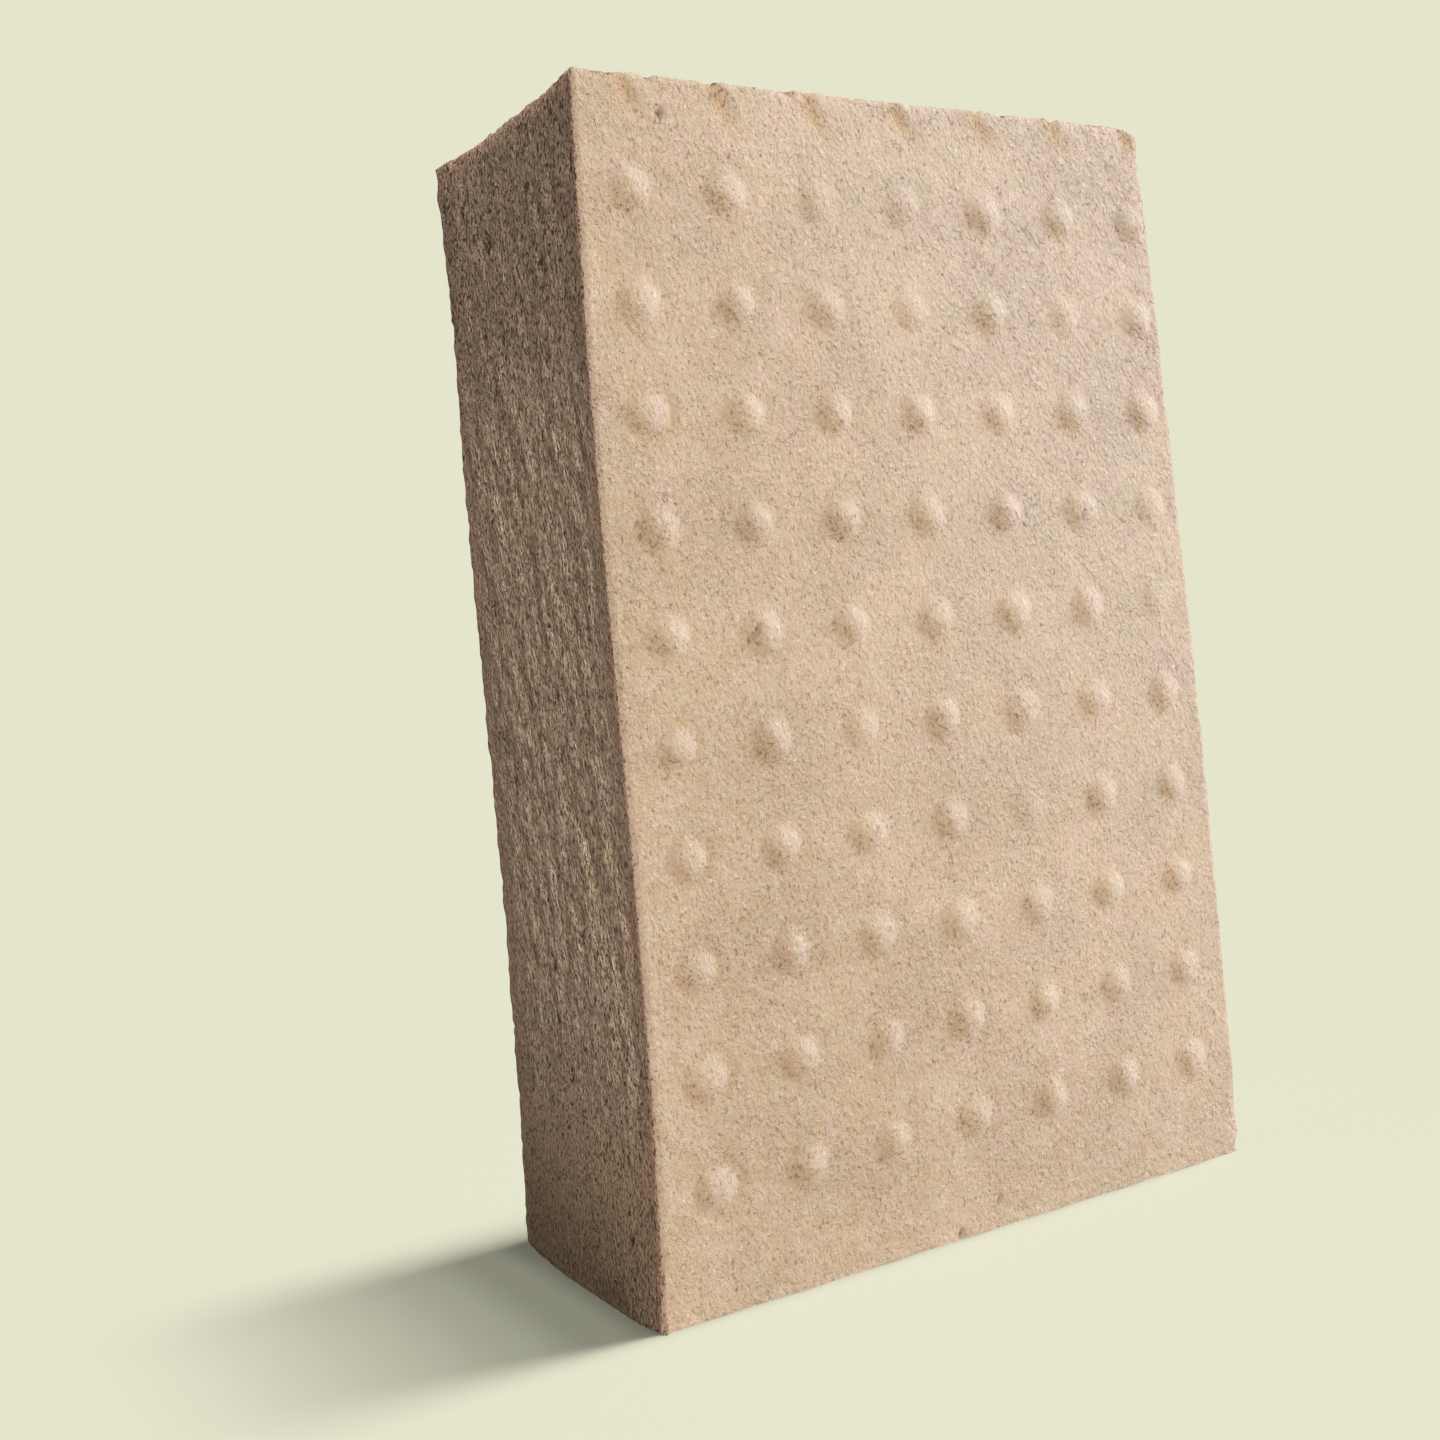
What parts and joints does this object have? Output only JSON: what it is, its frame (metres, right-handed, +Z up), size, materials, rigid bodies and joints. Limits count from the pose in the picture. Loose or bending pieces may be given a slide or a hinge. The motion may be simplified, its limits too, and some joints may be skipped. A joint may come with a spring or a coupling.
{
  "type": "tofu block",
  "caption": "Firm pressed tofu block standing on its short end, with press-plate bumps on both broad faces, rough narrow sides and a crumbly cut top.",
  "frame": {"origin": "middle of the bottom, on the surface that the block stands on", "axes": "+Z up along the block's length, +X to the right across the broad front, which looks to -Y"},
  "size_m": [0.0746, 0.0322, 0.1118],
  "materials": {
    "curd": "matte, slightly moist, fine cloth-pressed grain"
  },
  "bodies": {
    "root": {"tofu_block": "curd"}
  },
  "joints": []
}
